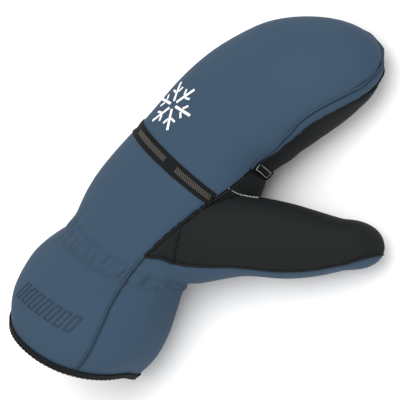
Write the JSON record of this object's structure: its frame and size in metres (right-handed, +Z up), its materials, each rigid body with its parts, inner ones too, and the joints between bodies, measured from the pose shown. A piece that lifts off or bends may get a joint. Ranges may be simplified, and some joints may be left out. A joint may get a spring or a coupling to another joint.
{
  "type": "convertible mitten",
  "caption": "Left-hand winter mitten with a fold-back finger hood, a long flared cuff gathered at the wrist and a black grip palm.",
  "frame": {"origin": "middle of the bounding box, at the surface the mitten lies on, palm down", "axes": "+Y from the cuff's hem to the fingertips, +X towards the thumb, +Z up out of the back of the hand"},
  "size_m": [0.188, 0.2964, 0.0791],
  "materials": {
    "blue_softshell": "matt slate-blue woven softshell",
    "black_grip": "matt black synthetic leather",
    "black_webbing": "matt black woven tape"
  },
  "bodies": {
    "root": {"back_panel": "blue_softshell", "side_panel": "blue_softshell", "palm_panel": "black_grip", "thumb_panel": "black_grip", "hood_back": "blue_softshell", "hood_strip": "blue_softshell", "hood_palm": "black_grip", "knuckle_band": "black_webbing", "side_tab": "black_webbing", "cuff_binding": "black_webbing"}
  },
  "joints": []
}
